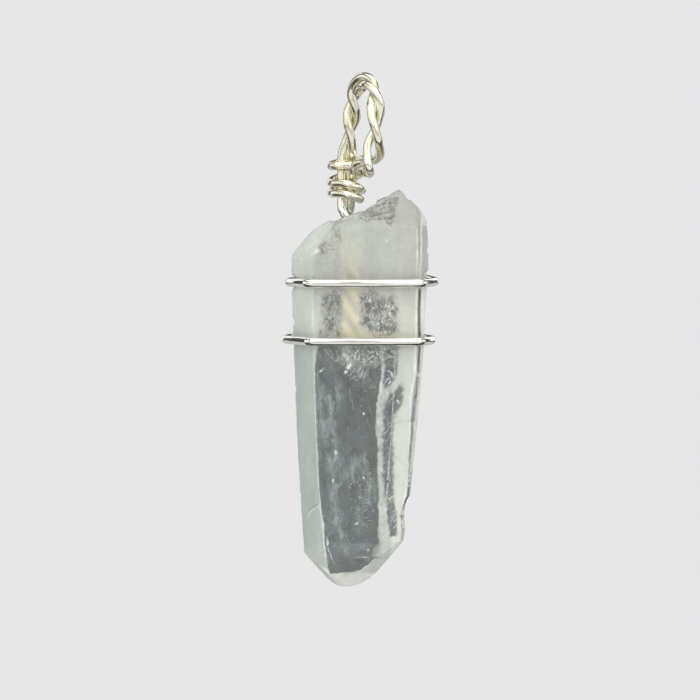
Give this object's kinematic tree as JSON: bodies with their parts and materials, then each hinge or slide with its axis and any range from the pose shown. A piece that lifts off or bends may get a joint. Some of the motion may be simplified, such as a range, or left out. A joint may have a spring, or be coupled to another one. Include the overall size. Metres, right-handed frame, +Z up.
{
  "type": "quartz pendant",
  "caption": "Raw quartz point held by bands of polished silver wire, hung from a twisted wire bail that a chain runs through.",
  "frame": {"origin": "underside of the bail's arch, at its middle, where a chain bears", "axes": "+Z up, towards the chain; -Y towards the front of the pendant; +X to the right seen from the front"},
  "size_m": [0.0182, 0.0137, 0.0599],
  "materials": {
    "crystal": "natural crystal, part milky and part clear",
    "lower_wire": "polished silver",
    "upper_wire": "polished silver"
  },
  "bodies": {
    "root": {"crystal": "crystal", "lower_wire": "lower_wire", "upper_wire": "upper_wire"}
  },
  "joints": []
}
